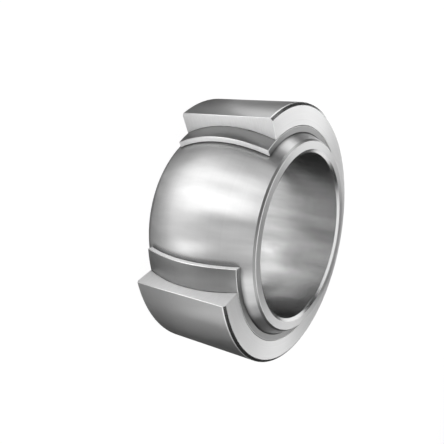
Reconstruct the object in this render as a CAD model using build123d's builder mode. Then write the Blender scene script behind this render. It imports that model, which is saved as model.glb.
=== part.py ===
# Radial spherical plain bearing, maintenance-free, cut open to show its sliding layer.
# Three pieces: an outer ring, a formed liner fixed in the outer ring's spherical race,
# and an inner ring whose outside is a ball. The ball centre is the origin and +Z is
# the bearing axis. The window cut through outer ring and liner faces -Y.

import os
from math import radians, sqrt, tan

from build123d import *

# Driving sizes, in millimetres
bore_diameter = 30.0
end_land = 2.12  # end face of the inner ring, from bore to ball
inner_ring_width = 22.0
outer_ring_width = 18.0  # the liner ends flush with it
running_clearance = 0.05  # ball to liner, on the radius
liner_thickness = 1.05
outer_ring_wall = 2.05  # at mid width, where it is thinnest
bore_chamfer = 0.6  # across the end face
ball_rim_flat = 0.09  # taken off the sharp rim between end face and ball
outer_ring_chamfer = 0.55  # across the side face
race_rim_chamfer = 0.12

# Driving angles, in degrees; the window's are about the bearing axis
chamfer_angle = 30.0  # from the face, at the bore and at the outside
window_front = -90.0  # azimuth of the window's middle, from +X
window_angle = 80.4  # opening of the outer ring
liner_step_left = 8.6  # liner left standing in the window, at its -X side
liner_step_right = 12.1  # the same at its +X side

# Sizes that follow
bore_radius = bore_diameter / 2
end_radius = bore_radius + end_land
ball_radius = sqrt(end_radius**2 + (inner_ring_width / 2) ** 2)
liner_bore_radius = ball_radius + running_clearance
race_radius = liner_bore_radius + liner_thickness
outer_radius = race_radius + outer_ring_wall
bore_chamfer_depth = bore_chamfer * tan(radians(chamfer_angle))
outer_ring_chamfer_depth = outer_ring_chamfer * tan(radians(chamfer_angle))
outer_ring_start = window_front + window_angle / 2
liner_window_angle = window_angle - liner_step_left - liner_step_right
liner_start = outer_ring_start - liner_step_right


def section_plane(azimuth):
    # half section through the bearing axis: local X runs outwards, local Y is +Z
    return Plane(Location((0, 0, 0), (0, 0, azimuth)) * Location((0, 0, 0), (90, 0, 0)))


# Outer ring: straight outside, spherical race inside, open at the window
with BuildPart() as outer_ring:
    with BuildSketch(section_plane(outer_ring_start)) as outer_ring_section:
        Rectangle(outer_radius, outer_ring_width, align=(Align.MIN, Align.CENTER))
        outside = outer_ring_section.edges().sort_by(Axis.X)[-1]
        chamfer(outside.vertices(), outer_ring_chamfer_depth, outer_ring_chamfer, reference=outside)
        Circle(race_radius, mode=Mode.SUBTRACT)
        chamfer(outer_ring_section.vertices().group_by(Axis.X)[0], race_rim_chamfer)
    revolve(axis=Axis.Z, revolution_arc=360 - window_angle)

# Liner: a formed shell between two spheres about the same centre
with BuildPart() as liner:
    with BuildSketch(section_plane(liner_start)) as liner_section:
        Circle(race_radius)
        Circle(liner_bore_radius, mode=Mode.SUBTRACT)
        Rectangle(race_radius, outer_ring_width, align=(Align.MIN, Align.CENTER), mode=Mode.INTERSECT)
    revolve(axis=Axis.Z, revolution_arc=360 - liner_window_angle)

# Inner ring: a ball cut flat at both ends, with a straight bore
with BuildPart() as inner_ring:
    with BuildSketch(section_plane(0)) as inner_ring_section:
        Circle(ball_radius)
        with Locations((bore_radius, 0)):
            Rectangle(ball_radius, inner_ring_width, align=(Align.MIN, Align.CENTER), mode=Mode.INTERSECT)
        bore = inner_ring_section.edges().sort_by(Axis.X)[0]
        chamfer(bore.vertices(), bore_chamfer_depth, bore_chamfer, reference=bore)
        # a 45 degree cone breaks each rim of the ball
        cone_reach = end_radius + inner_ring_width / 2 - ball_rim_flat
        Rectangle(cone_reach * sqrt(2), cone_reach * sqrt(2), rotation=45, mode=Mode.INTERSECT)
    revolve(axis=Axis.Z)

os.makedirs("parts", exist_ok=True)
for name, piece in (("outer_ring", outer_ring), ("liner", liner), ("inner_ring", inner_ring)):
    piece.part.label = name
    export_step(piece.part, f"parts/{name}.step")

print(f"ball {2 * ball_radius:.3f}, liner bore {2 * liner_bore_radius:.3f}, race {2 * race_radius:.3f}")
print(f"outside {2 * outer_radius:.3f}, end face {2 * end_radius:.3f}")
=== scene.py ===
from math import acos, asin, atan2, ceil, cos, hypot, pi, radians, sin, sqrt, tan

import bpy
from mathutils import Matrix, Vector


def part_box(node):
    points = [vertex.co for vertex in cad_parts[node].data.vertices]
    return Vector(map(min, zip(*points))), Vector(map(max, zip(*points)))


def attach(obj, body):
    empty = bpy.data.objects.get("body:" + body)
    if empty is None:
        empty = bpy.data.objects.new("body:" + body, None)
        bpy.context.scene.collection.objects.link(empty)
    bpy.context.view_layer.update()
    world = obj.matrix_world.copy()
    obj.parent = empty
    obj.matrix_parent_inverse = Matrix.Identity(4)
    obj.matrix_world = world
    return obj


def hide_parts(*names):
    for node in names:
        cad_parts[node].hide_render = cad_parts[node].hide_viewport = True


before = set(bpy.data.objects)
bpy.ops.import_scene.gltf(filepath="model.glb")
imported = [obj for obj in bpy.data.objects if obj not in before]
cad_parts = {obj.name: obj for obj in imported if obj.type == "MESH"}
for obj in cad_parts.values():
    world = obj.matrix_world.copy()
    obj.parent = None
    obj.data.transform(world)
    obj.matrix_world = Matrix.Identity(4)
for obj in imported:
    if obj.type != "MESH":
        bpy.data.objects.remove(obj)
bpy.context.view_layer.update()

mm = 0.001
micron = 0.001 * mm
print("frame loaded:", ", ".join(sorted(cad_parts)))


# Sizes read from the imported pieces, all about the ball centre at the origin

def vertexSpan(node, measure):
    found = [measure(vertex.co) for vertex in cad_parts[node].data.vertices]
    return min(found), max(found)


def fromCentre(place):
    return place.length


def fromAxis(place):
    return hypot(place.x, place.y)


linerBoreRadius, raceRadius = vertexSpan("liner", fromCentre)
ballRadius = vertexSpan("inner_ring", fromCentre)[1]
boreRadius = vertexSpan("inner_ring", fromAxis)[0]
outsideRadius = vertexSpan("outer_ring", fromAxis)[1]
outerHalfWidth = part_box("outer_ring")[1].z
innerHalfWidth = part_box("inner_ring")[1].z
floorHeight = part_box("inner_ring")[0].z
print("radii in mm:", *(round(r / mm, 3) for r in (boreRadius, ballRadius, raceRadius, outsideRadius)))


# Camera

cameraLook = {
    "lens": 44.486,  # mm, on a sensor 36 mm wide
    "distance": 104.353 * mm,
    "aroundAxis": 7.144,  # degrees from the middle of the window towards +X
    "elevation": 32.987,
    "roll": 100.573,  # the bearing's axis lies nearly level in the picture
    "shiftRight": -5.762 * mm,  # how far the camera itself stands off the line to the ball centre
    "shiftUp": 0.889 * mm,
}


def addCamera(look):
    aroundAxis = Matrix.Rotation(radians(look["aroundAxis"]), 3, "Z")
    tilt = Matrix.Rotation(radians(90 - look["elevation"]), 3, "X")
    roll = Matrix.Rotation(radians(look["roll"]), 3, "Z")
    axes = aroundAxis @ tilt @ roll
    data = bpy.data.cameras.new("productCamera")
    data.lens = look["lens"]
    data.clip_start = 1 * mm
    camera = bpy.data.objects.new("productCamera", data)
    # the shifts run along the picture's own sides, the distance straight out of the picture
    place = axes @ Vector((look["shiftRight"], look["shiftUp"], look["distance"]))
    camera.matrix_world = Matrix.Translation(place) @ axes.to_4x4()
    bpy.context.scene.collection.objects.link(camera)
    bpy.context.scene.camera = camera


addCamera(cameraLook)
print("camera placed")


# Turned pieces. A section lies in the half plane (distance from the axis, height). Its sides run
# round it with the metal on their left. Each side knows its place and direction along its length,
# and how far the corner at its end is rounded.

arcStep = 0.4 * mm  # longest straight piece of an arc in the section
turnStep = radians(0.9)  # widest facet round the axis
cornerSteps = 4  # facets of a rounded corner


def line(start, end, finish, corner, cornerFinish=None):
    start, end = Vector(start), Vector(end)
    way = (end - start).normalized()
    return {"finish": finish, "corner": corner, "cornerFinish": cornerFinish or finish,
            "length": (end - start).length, "steps": 1,
            "place": lambda s: start + way * s, "way": lambda s: way}


def arc(radius, fromAngle, toAngle, finish, corner, cornerFinish=None):
    sense = 1 if toAngle > fromAngle else -1
    length = abs(toAngle - fromAngle) * radius

    def place(s):
        angle = fromAngle + sense * s / radius
        return Vector((cos(angle), sin(angle))) * radius

    def way(s):
        angle = fromAngle + sense * s / radius
        return Vector((-sin(angle), cos(angle))) * sense

    return {"finish": finish, "corner": corner, "cornerFinish": cornerFinish or finish,
            "length": length, "steps": ceil(length / arcStep), "place": place, "way": way}


def outlineOf(sides):
    # points round the section: (place, outward normal, finish of the strip that starts there)
    turns = []
    for here, after in zip(sides, sides[1:] + sides[:1]):
        arriving, leaving = here["way"](here["length"]), after["way"](0)
        turns.append(atan2(arriving.x * leaving.y - arriving.y * leaving.x, arriving.dot(leaving)))
    outline = []
    for i, side in enumerate(sides):
        first = sides[i - 1]["corner"] * tan(turns[i - 1] / 2)
        last = side["length"] - side["corner"] * tan(turns[i] / 2)
        for k in range(side["steps"] + 1):
            s = first + (last - first) * k / side["steps"]
            way = side["way"](s)
            finish = side["finish"] if k < side["steps"] else side["cornerFinish"]
            outline.append((side["place"](s), Vector((way.y, -way.x)), finish))
        place, normal, _ = outline[-1]
        middle = place - normal * side["corner"]
        start = atan2(normal.y, normal.x)
        for k in range(1, cornerSteps):
            angle = start + turns[i] * k / cornerSteps
            normal = Vector((cos(angle), sin(angle)))
            outline.append((middle + normal * side["corner"], normal, side["cornerFinish"]))
    return outline


def rowsRound(window):
    # where the outline is repeated: (angle about the axis, inset, back, lean), right round or from one
    # cut face of the window to the other. Inset, back and lean carry it round the edge of a cut face,
    # and a negative lean faces the other way.
    if not window:
        count = ceil(2 * pi / turnStep)
        return [(2 * pi * k / count, 0, 0, 0) for k in range(count)]
    first, last, edgeRound = window
    bend = [radians(90) * k / cornerSteps for k in range(cornerSteps + 1)]
    count = ceil((last - first) / turnStep)
    firstEdge = [(first, edgeRound * (1 - cos(t)), -edgeRound * (1 - sin(t)), -t) for t in reversed(bend)]
    between = [(first + (last - first) * k / count, 0, 0, 0) for k in range(1, count)]
    lastEdge = [(last, edgeRound * (1 - cos(t)), edgeRound * (1 - sin(t)), t) for t in bend]
    return firstEdge + between + lastEdge


def turnPiece(name, sides, materials, window=None):
    outline = outlineOf(sides)
    rows = rowsRound(window)
    places, normals = [], []
    for angle, inset, back, lean in rows:
        outward = Vector((cos(angle), sin(angle), 0))
        along = Vector((-sin(angle), cos(angle), 0))
        for point, normal, _ in outline:
            point = point - normal * inset
            places.append(outward * point.x + Vector((0, 0, point.y)) - along * back)
            normals.append((outward * normal.x + Vector((0, 0, normal.y))) * cos(lean) + along * sin(lean))

    size = len(outline)
    starts = [k * size for k in range(len(rows))]
    pairs = list(zip(starts, starts[1:] if window else starts[1:] + starts[:1]))
    names = list(materials)
    faces, finishes = [], []
    for k, (a, b) in enumerate(pairs):
        atEdge = window and not cornerSteps <= k < len(pairs) - cornerSteps
        for i, (_, _, finish) in enumerate(outline):
            j = (i + 1) % size
            faces.append((a + i, b + i, b + j, a + j))
            finishes.append(names.index("edge" if atEdge else finish))
    if window:
        faces += [tuple(range(size)), tuple(reversed(range(starts[-1], starts[-1] + size)))]
        finishes += [names.index("cut")] * 2

    mesh = bpy.data.meshes.new(name)
    mesh.from_pydata(places, [], faces)
    for material in materials.values():
        mesh.materials.append(material)
    for face, finish in zip(mesh.polygons, finishes):
        face.material_index = finish
        face.use_smooth = True
    mesh.normals_split_custom_set_from_vertices(normals)
    # the shader's own tangent then circles the bearing's axis, as the turning marks do
    mesh.use_auto_texspace = False
    mesh.texspace_location = (0, 0, 0)
    mesh.texspace_size = (outsideRadius,) * 3
    piece = bpy.data.objects.new(name, mesh)
    bpy.context.scene.collection.objects.link(piece)
    print("turned", name, len(faces), "faces")
    return piece


# Shader maths

class Wire:
    # one output of a node; arithmetic on it adds Math nodes
    def __init__(self, tree, socket=None):
        self.tree, self.socket = tree, socket

    def node(self, kind, settings=None, sockets=None):
        # adds a node to the same tree and gives its first output
        node = self.tree.nodes.new(kind)
        for key, value in (settings or {}).items():
            setattr(node, key, value)
        for key, value in (sockets or {}).items():
            if isinstance(value, Wire):
                self.tree.links.new(value.socket, node.inputs[key])
            else:
                node.inputs[key].default_value = value
        return Wire(self.tree, node.outputs[0] if len(node.outputs) else None)

    def output(self, key):
        # another output of the same node
        return Wire(self.tree, self.socket.node.outputs[key])

    def maths(self, operation, a, b=0.0):
        return self.node("ShaderNodeMath", {"operation": operation}, {0: a, 1: b})

    def __add__(self, other):
        return self.maths("ADD", self, other)

    def __radd__(self, other):
        return self.maths("ADD", other, self)

    def __sub__(self, other):
        return self.maths("SUBTRACT", self, other)

    def __rsub__(self, other):
        return self.maths("SUBTRACT", other, self)

    def __mul__(self, other):
        return self.maths("MULTIPLY", self, other)

    def __rmul__(self, other):
        return self.maths("MULTIPLY", other, self)

    def __truediv__(self, other):
        return self.maths("DIVIDE", self, other)

    def __rtruediv__(self, other):
        return self.maths("DIVIDE", other, self)

    def __pow__(self, other):
        return self.maths("POWER", self, other)

    def __rpow__(self, other):
        return self.maths("POWER", other, self)


def emptyTree(owner):
    owner.use_nodes = True
    owner.node_tree.nodes.clear()
    return Wire(owner.node_tree)


def blend(wire, value, fromValue, toValue, start, end, curve="LINEAR"):
    # from start to end while the value goes from fromValue to toValue
    return wire.node("ShaderNodeMapRange", {"interpolation_type": curve}, {
        "Value": value, "From Min": fromValue, "From Max": toValue, "To Min": start, "To Max": end})


# Steel. The marks of turning and grinding run round the axis, streaks run along it, and clouds are
# soft patches. The shadeBy and roughBy values say how strongly each changes colour and roughness; some
# finishes also get painted shade in their colour where another piece stands close.

def grey(level):
    return (level, level, level)


# holds for each finish that doesn't say otherwise
plainSteel = {
    "metallic": 1.0,
    "edgeTint": grey(0.9),  # colour of what it mirrors at a low angle
    "anisotropic": 0.0,  # how far the highlight spreads across the marks
    "highlightTurn": 0.25,  # a quarter turn, from along the marks to across them
    "marksPerMm": 3.0,
    "markStretch": (1.0, 1.0),  # times as many marks outwards from the axis, and along it
    "markDetail": 3.0,
    "markRoughness": 0.65,
    "depth": 0.6 * micron,  # of the marks
    "streakScale": 9.0,  # streaks per radian
    "streakFlow": 12.0,  # how fast the streaks change along the axis, per metre
    "streakDetail": 3.0,
    "cloudScale": 240.0,  # clouds per metre
    "cloudDetail": 4.0,
    "shadeByMarks": 0.1,
    "shadeByStreaks": 0.0,
    "shadeByCloud": 0.05,
    "roughByMarks": 0.06,
    "roughByCloud": 0.05,
    "paintedShadeStrength": 0.0,  # how much shade is painted into the colour where another piece stands close
    "paintedShadeSamples": 12,
}

# lines drawn out along the radius, as on a plain cut face
straightMarks = {"marksPerMm": 0.8, "markStretch": (0.6, 5.0)}

# a light colour on the rounded edges, partly burnished metal and partly a painted highlight along the line
# where two faces meet, and a softer one
burnishedEdgeHighlight = {"colour": grey(0.9), "roughness": 0.3, "marksPerMm": 2.0, "depth": 0.4 * micron,
             "shadeByCloud": 0.1, "roughByMarks": 0.05}
softEdgeHighlight = {**burnishedEdgeHighlight, "metallic": 0.4, "roughness": 0.4}


def noiseAboutZero(wire, dimensions, vector, scale, detail, roughness=0.5):
    noise = wire.node("ShaderNodeTexNoise", {"noise_dimensions": dimensions}, {
        "Vector": vector, "Scale": scale, "Detail": detail, "Roughness": roughness})
    return noise - 0.5


def paintedShadeFactor(wire, look, height):
    # Painted shade: 1 in the open, less where another face stands within paintedShadeReach. The painted
    # dark starts where a place is as open as paintedShadeOpen, is full at paintedShadeFull, and fades out
    # past the outer ring's width, where the ball lies open.
    openness = wire.node("ShaderNodeAmbientOcclusion", {"samples": look["paintedShadeSamples"]},
                         {"Distance": look["paintedShadeReach"]}).output("AO")
    shadeToPaint = blend(wire, openness, look["paintedShadeFull"], look["paintedShadeOpen"],
                    look["paintedShadeStrength"], 0.0, "SMOOTHSTEP")
    within = blend(wire, wire.maths("ABSOLUTE", height), outerHalfWidth, innerHalfWidth, 1.0, 0.0)
    return 1 - shadeToPaint * within


def steel(name, finish):
    look = {**plainSteel, **finish}
    material = bpy.data.materials.new(name)
    wire = emptyTree(material)
    place = wire.node("ShaderNodeTexCoord").output("Object")
    apart = wire.node("ShaderNodeSeparateXYZ", sockets={0: place})
    x, y, z = (apart.output(axis) for axis in "XYZ")
    radius = (x * x + y * y) ** 0.5

    across, along = (stretch / mm for stretch in look["markStretch"])
    section = wire.node("ShaderNodeCombineXYZ", sockets={0: radius * across, 1: z * along})
    marks = noiseAboutZero(wire, "2D", section, look["marksPerMm"],
                           look["markDetail"], look["markRoughness"])
    cloud = noiseAboutZero(wire, "3D", place, look["cloudScale"], look["cloudDetail"])
    shade = 1 + marks * look["shadeByMarks"] + cloud * look["shadeByCloud"]
    if look["shadeByStreaks"]:
        flow = z * look["streakFlow"]
        around = wire.node("ShaderNodeCombineXYZ", sockets={0: x / radius, 1: y / radius, 2: flow})
        streaks = noiseAboutZero(wire, "3D", around, look["streakScale"], look["streakDetail"])
        shade = shade + streaks * look["shadeByStreaks"]
    # painted shade: the colour is darkened where another piece stands close
    if look["paintedShadeStrength"]:
        shade = shade * paintedShadeFactor(wire, look, z)

    colour = wire.node("ShaderNodeVectorMath", {"operation": "SCALE"}, {
        0: look["colour"], "Scale": shade})
    rough = look["roughness"] + marks * look["roughByMarks"] + cloud * look["roughByCloud"]
    bump = wire.node("ShaderNodeBump", sockets={
        "Strength": 1.0, "Distance": look["depth"], "Height": marks})
    shader = wire.node("ShaderNodeBsdfPrincipled", sockets={
        "Base Color": colour, "Metallic": look["metallic"], "Roughness": rough, "Normal": bump,
        "Anisotropic": look["anisotropic"], "Anisotropic Rotation": look["highlightTurn"],
        "Specular Tint": (*look["edgeTint"], 1)})
    wire.node("ShaderNodeOutputMaterial", sockets={"Surface": shader})
    return material


def finishesOf(piece, looks):
    return {key: steel(piece + key.capitalize(), look) for key, look in looks.items()}


# The window is cut through the outer ring and, less widely, through the liner

windowMiddle = -90  # degrees about the axis, from +X


def windowSpan(piece):
    # angles of the two cut faces, going round the metal, and the rounding of their edges
    first = radians(windowMiddle + piece["windowTo"])
    last = radians(windowMiddle + 360 + piece["windowFrom"])
    return first, last, piece["cutRound"]


# Outer ring: ground outside, finely turned side faces, spherical race, open at the window

outerRing = {
    "windowFrom": -40.2,  # degrees about the axis from the middle of the window, the -X side
    "windowTo": 40.2,
    "chamferAcross": 0.55 * mm,  # across the side face
    "chamferAlong": 0.3175 * mm,  # along the outside
    "raceRim": 0.12 * mm,  # a small break where the race meets the side face
    "edgeRound": 0.2 * mm,
    "rimRound": 0.08 * mm,
    "cutRound": 0.08 * mm,
    "finishes": {
        # the outside's low edge tint darkens what it mirrors at a low angle: a painted dark reflection
        # along its silhouettes
        "outside": {"colour": grey(0.46), "edgeTint": grey(0.3), "roughness": 0.3, "anisotropic": 0.85,
                    "marksPerMm": 2.5, "depth": 0.4 * micron,
                    "shadeByMarks": 0.06, "shadeByStreaks": 0.12, "roughByMarks": 0.03},
        "face": {"colour": grey(0.8), "roughness": 0.4, "anisotropic": 0.85,
                 "marksPerMm": 2.5, "depth": 1.2 * micron, "shadeByMarks": 0.2, "roughByMarks": 0.1},
        "chamfer": {"colour": grey(0.5), "roughness": 0.24, "anisotropic": 0.4},
        "race": {"colour": grey(0.55), "roughness": 0.3, "anisotropic": 0.5,
                 "depth": 0.4 * micron, "roughByMarks": 0.05},
        "cut": {"colour": grey(0.9), "metallic": 0.35, "roughness": 0.5, **straightMarks,
                "depth": 1.0 * micron, "shadeByMarks": 0.12, "roughByMarks": 0.08, "roughByCloud": 0.06},
        "edge": burnishedEdgeHighlight,
    },
}


def outerRingSection(ring):
    half, big, edge, rim = outerHalfWidth, outsideRadius, ring["edgeRound"], ring["rimRound"]
    inner = sqrt(raceRadius**2 - half**2) + ring["raceRim"]
    outer = big - ring["chamferAcross"]
    land = half - ring["chamferAlong"]
    # the rim break starts on the race, as far from the sharp corner as it ends on the side face
    start = asin(half / raceRadius) - ring["raceRim"] / raceRadius
    foot = Vector((cos(start), sin(start))) * raceRadius
    return [line((foot.x, -foot.y), (inner, -half), "race", rim),
            line((inner, -half), (outer, -half), "face", edge),
            line((outer, -half), (big, -land), "chamfer", edge, "edge"),
            line((big, -land), (big, land), "outside", edge, "edge"),
            line((big, land), (outer, half), "chamfer", edge),
            line((outer, half), (inner, half), "face", rim),
            line((inner, half), (foot.x, foot.y), "race", rim),
            arc(raceRadius, start, -start, "race", rim)]


outerRingBody = turnPiece("outerRingBody", outerRingSection(outerRing),
                          finishesOf("outerRing", outerRing["finishes"]), windowSpan(outerRing))


# Liner: thin formed shell with the sliding layer, cut back less than the outer ring

liner = {
    "windowFrom": -31.6,
    "windowTo": 28.1,
    "edgeRound": 0.1 * mm,
    "cutRound": 0.09 * mm,
    "finishes": {
        "back": {"colour": grey(0.34), "roughness": 0.42, "anisotropic": 0.6, "marksPerMm": 2.0,
                 "shadeByStreaks": 0.2, "shadeByCloud": 0.12, "roughByCloud": 0.1},
        "face": {"colour": grey(0.32), "roughness": 0.38, "anisotropic": 0.85,
                 "depth": 0.8 * micron, "shadeByMarks": 0.15, "shadeByCloud": 0.06},
        "cut": {"colour": grey(0.96), "metallic": 0.05, "roughness": 0.5, **straightMarks,
                "depth": 0.8 * micron, "shadeByMarks": 0.08},
        "edge": burnishedEdgeHighlight,
        # the rim's light colour is partly a painted highlight, and painted shade darkens it in the seam
        # where it sits against the outer ring
        "rim": {**softEdgeHighlight, "paintedShadeStrength": 0.85, "paintedShadeReach": 0.3 * mm,
                "paintedShadeFull": 0.6, "paintedShadeOpen": 0.95},
    },
}


def linerSection(shell):
    half, edge = outerHalfWidth, shell["edgeRound"]
    innerAngle, outerAngle = asin(half / linerBoreRadius), asin(half / raceRadius)
    inner, outer = sqrt(linerBoreRadius**2 - half**2), sqrt(raceRadius**2 - half**2)
    return [line((inner, -half), (outer, -half), "face", edge, "rim"),
            arc(raceRadius, -outerAngle, outerAngle, "back", edge, "rim"),
            line((outer, half), (inner, half), "face", edge),
            arc(linerBoreRadius, innerAngle, -innerAngle, "back", edge)]


linerShell = turnPiece("linerShell", linerSection(liner),
                       finishesOf("liner", liner["finishes"]), windowSpan(liner))


# Inner ring: the ball, cut flat at both ends, with a straight bore

innerRing = {
    "boreChamferAcross": 0.6 * mm,  # across the end face
    "boreChamferAlong": 0.3464 * mm,  # along the bore
    "rimFlat": 0.14 * mm,  # taken off the ball's sharp rim at 45 degrees
    "rimRound": 0.2 * mm,
    "edgeRound": 0.06 * mm,
    "finishes": {
        "ball": {"colour": grey(0.7), "roughness": 0.38, "anisotropic": 0.85,
                 "marksPerMm": 2.0, "depth": 0.4 * micron, "streakScale": 8.0,
                 "shadeByMarks": 0.06, "shadeByStreaks": 0.5, "shadeByCloud": 0.04,
                 "roughByMarks": 0.04, "roughByCloud": 0.08,
                 # painted shade on the ball where the liner stands close, beside its cut edges and its end
                 # faces
                 "paintedShadeStrength": 0.66, "paintedShadeReach": 1.4 * mm, "paintedShadeFull": 0.7, "paintedShadeOpen": 0.93},
        "face": {"colour": grey(0.67), "roughness": 0.36, "anisotropic": 0.9,
                 "depth": 0.8 * micron, "shadeByMarks": 0.15, "shadeByCloud": 0.04, "roughByMarks": 0.08},
        "chamfer": {"colour": grey(0.56), "roughness": 0.24, "anisotropic": 0.5},
        "rim": {"colour": grey(0.48), "roughness": 0.34},
        "edge": softEdgeHighlight,
        "bore": {"colour": grey(0.48), "roughness": 0.24, "anisotropic": 0.8,
                 "marksPerMm": 2.0, "streakScale": 5.0,
                 "shadeByMarks": 0.08, "shadeByStreaks": 0.9, "shadeByCloud": 0.06,
                 "roughByMarks": 0.05, "roughByCloud": 0.08},
    },
}


def innerRingSection(ring):
    half, bore, edge, rimRound = innerHalfWidth, boreRadius, ring["edgeRound"], ring["rimRound"]
    inner = bore + ring["boreChamferAcross"]
    rim = sqrt(ballRadius**2 - half**2) - ring["rimFlat"]
    land = half - ring["boreChamferAlong"]
    # where the 45 degree line from the rim meets the ball
    stop = pi / 4 - acos((rim + half) / (ballRadius * sqrt(2)))
    foot = Vector((cos(stop), sin(stop))) * ballRadius
    return [line((bore, -land), (inner, -half), "chamfer", edge),
            line((inner, -half), (rim, -half), "face", rimRound, "edge"),
            line((rim, -half), (foot.x, -foot.y), "rim", edge),
            arc(ballRadius, -stop, stop, "ball", edge),
            line((foot.x, foot.y), (rim, half), "rim", rimRound, "edge"),
            line((rim, half), (inner, half), "face", edge),
            line((inner, half), (bore, land), "chamfer", edge),
            line((bore, land), (bore, -land), "bore", edge)]


innerRingBall = turnPiece("innerRingBall", innerRingSection(innerRing),
                          finishesOf("innerRing", innerRing["finishes"]))


# Each piece stands for its node and moves with that node's body

for piece, node, body, slot in ((outerRingBody, "outer_ring", "housing_side", "outer_ring_steel"),
                                (linerShell, "liner", "housing_side", "liner_steel"),
                                (innerRingBall, "inner_ring", "shaft_side", "ball_steel")):
    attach(piece, body)
    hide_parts(node)
print("pieces ride on their bodies")


# Studio: a white floor that keeps a faint shadow, soft boxes standing round the bearing and strips
# of light lying on the floor. Metal sees the floor with painted shade close to the bearing and
# behind it, and a darker painted copy of its colour, so that the steel keeps its dark parts.

studio = {
    "floorReach": 2.5,
    "floorColour": (0.9, 0.9, 0.9, 1),
    "floorShadedInMetal": (0.6, 0.6, 0.6, 1),  # a darker copy of the floor's colour that only metal mirrors: painted shade
    "shineColour": (0.95, 0.95, 0.95, 1),
    "shineRoughness": 0.15,
    "floorShine": 0.85,  # how far the floor mirrors the soft boxes, as metal reflects it
    "metalWhite": 0.06,  # share of plain white that metal sees on the floor
    "nearShare": 0.15,  # how much of both is left close to the bearing, as painted shade round it
    "nearRadius": 29 * mm,
    "farRadius": 48 * mm,  # from here on metal sees the whole of both
    "behindShare": 0.3,  # and how much of that behind the bearing, as painted shade there
    "frontLine": -8 * mm,
    "backLine": 10 * mm,
    "cameraWhite": 0.9,  # share of plain white that the camera sees there
    "whiteLevel": 1.08,
    "worldLevel": 0.03,  # what reaches the bearing from around and above
    "boxDistance": 350 * mm,
    # azimuth from the window's middle towards +X and width in degrees, lowest and highest
    # elevation, radiance
    "boxes": {
        "keyBox": (-10, 23, 3, 30, 2.65),
        "keyWingBox": (-34, 20, 3, 32, 2.1),
        "sideKeyBox": (-56, 16, 5, 45, 0.95),
        "fillBox": (20, 22, 5, 38, 1.0),
        "stripBox": (40, 12, 8, 40, 0.9),
        "rightBox": (78, 40, 5, 45, 1.3),
        "leftBox": (-99, 22, 1, 36, 1.65),
        "backLeftBox": (-151, 28, 12, 40, 1.55),
        "backRightBox": (169, 20, 14, 38, 1.45),
        "overheadBox": (180, 50, 62, 108, 1.4),
        "highRightBox": (65, 40, 48, 80, 0.5),
        "lowEdgeBox": (105, 14, 0, 20, 0.8),
    },
    "panelLift": 0.2 * mm,  # a panel lies this far above the floor
    # azimuth, distance of the middle, length and width, radiance
    "panels": {
        "keyPanel": (-12, 66 * mm, 88 * mm, 44 * mm, 0.32),
        "nearPanel": (0, 31 * mm, 16 * mm, 56 * mm, 0.72),
        "stripPanel": (30, 48 * mm, 38 * mm, 7 * mm, 1.6),
        "borePanel": (-150, 1 * mm, 23 * mm, 23 * mm, 1.15),
        "boreSpotPanel": (-82, 8 * mm, 12 * mm, 6 * mm, 4.6),
        "leftPanel": (-92, 46 * mm, 38 * mm, 32 * mm, 0.75),
        "rightPanel": (84, 48 * mm, 36 * mm, 26 * mm, 0.18),
        "backPanel": (-146, 170 * mm, 200 * mm, 110 * mm, 2.2),
    },
}


def floorMaterial(look):
    material = bpy.data.materials.new("studioWhite")
    wire = emptyTree(material)
    rays = wire.node("ShaderNodeLightPath")
    seenByCamera = rays.output("Is Camera Ray")
    mirrored = rays.output("Is Glossy Ray") + rays.output("Is Transmission Ray")
    spot = wire.node("ShaderNodeTexCoord").output("Object")
    reach = wire.node("ShaderNodeVectorMath", {"operation": "LENGTH"}, {0: spot}).output("Value")
    depth = wire.node("ShaderNodeSeparateXYZ", sockets={0: spot}).output("Y")
    # painted shade on the floor as metal sees it: less of the white and the shine close to the bearing and
    # behind it
    nearPaintedShade = blend(wire, reach, look["nearRadius"], look["farRadius"],
                      look["nearShare"], 1.0, "SMOOTHSTEP")
    behindPaintedShade = blend(wire, depth, look["frontLine"], look["backLine"],
                       1.0, look["behindShare"], "SMOOTHSTEP")
    inMetal = mirrored * nearPaintedShade * behindPaintedShade

    # metal mirrors a darker copy of the floor's colour: painted shade
    plain = wire.node("ShaderNodeBsdfDiffuse", sockets={"Color": look["floorColour"]})
    darker = wire.node("ShaderNodeBsdfDiffuse", sockets={"Color": look["floorShadedInMetal"]})
    paintWithShadedCopy = wire.node("ShaderNodeMixShader", sockets={0: mirrored, 1: plain, 2: darker})
    shine = wire.node("ShaderNodeBsdfAnisotropic", sockets={
        "Color": look["shineColour"], "Roughness": look["shineRoughness"]})
    lit = wire.node("ShaderNodeMixShader", sockets={0: inMetal * look["floorShine"], 1: paintWithShadedCopy, 2: shine})
    white = wire.node("ShaderNodeEmission", sockets={"Strength": look["whiteLevel"]})
    whiteShare = seenByCamera * look["cameraWhite"] + inMetal * look["metalWhite"]
    seen = wire.node("ShaderNodeMixShader", sockets={0: whiteShare, 1: lit, 2: white})
    wire.node("ShaderNodeOutputMaterial", sockets={"Surface": seen})
    return material


def addFloor(look):
    reach = look["floorReach"]
    corners = [(-reach, -reach, 0), (reach, -reach, 0), (reach, reach, 0), (-reach, reach, 0)]
    mesh = bpy.data.meshes.new("studioFloor")
    mesh.from_pydata(corners, [], [(0, 1, 2, 3)])
    mesh.materials.append(floorMaterial(look))
    floor = bpy.data.objects.new("studioFloor", mesh)
    floor.location.z = floorHeight
    bpy.context.scene.collection.objects.link(floor)


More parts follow.
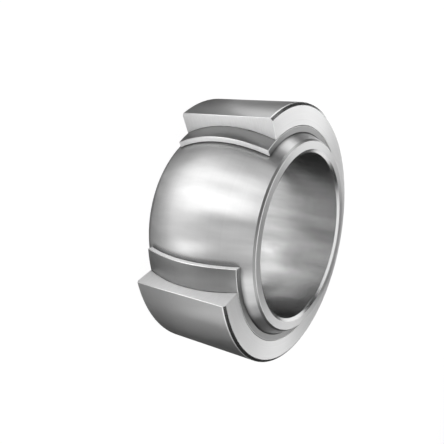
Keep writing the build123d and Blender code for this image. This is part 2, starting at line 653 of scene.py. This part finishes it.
def addWorld(look):
    # white to the camera and nearly dark to all else
    world = bpy.data.worlds.new("studioWorld")
    bpy.context.scene.world = world
    wire = emptyTree(world)
    seenByCamera = wire.node("ShaderNodeLightPath").output("Is Camera Ray")
    level = seenByCamera * (1 - look["worldLevel"]) + look["worldLevel"]
    sky = wire.node("ShaderNodeBackground", sockets={"Color": (1, 1, 1, 1), "Strength": level})
    wire.node("ShaderNodeOutputWorld", sockets={"Surface": sky})


def addLamp(name, shape, wide, tall, radiance, place, facing, along):
    # facing points away from what is lit, along runs up the lamp's tall side
    area = wide * tall * (pi / 4 if shape == "ELLIPSE" else 1)
    data = bpy.data.lights.new(name, "AREA")
    data.shape = shape
    data.size = wide
    data.size_y = tall
    data.energy = radiance * pi * area
    lamp = bpy.data.objects.new(name, data)
    across = along.cross(facing).normalized()
    axes = Matrix((across, facing.cross(across), facing)).transposed()
    lamp.matrix_world = Matrix.Translation(place) @ axes.to_4x4()
    lamp.visible_camera = False
    bpy.context.scene.collection.objects.link(lamp)


def addSoftBox(name, azimuth, width, low, high, radiance, distance):
    # stands at its distance from the bearing and faces it
    azimuth, middle = radians(azimuth), radians((low + high) / 2)
    wide = 2 * distance * tan(radians(width) / 2)
    tall = 2 * distance * tan(radians(high - low) / 2)
    towards = Vector((sin(azimuth) * cos(middle), -cos(azimuth) * cos(middle), sin(middle)))
    addLamp(name, "RECTANGLE", wide, tall, radiance, towards * distance, towards, Vector((0, 0, 1)))


def addPanel(name, azimuth, distance, length, width, radiance, lift):
    towards = Vector((sin(radians(azimuth)), -cos(radians(azimuth)), 0))
    place = towards * distance + Vector((0, 0, floorHeight + lift))
    addLamp(name, "ELLIPSE", width, length, radiance, place, Vector((0, 0, -1)), towards)


addFloor(studio)
addWorld(studio)
for name, box in studio["boxes"].items():
    addSoftBox(name, *box, studio["boxDistance"])
for name, panel in studio["panels"].items():
    addPanel(name, *panel, studio["panelLift"])
bpy.context.scene.view_settings.view_transform = "Standard"
print("studio lit")
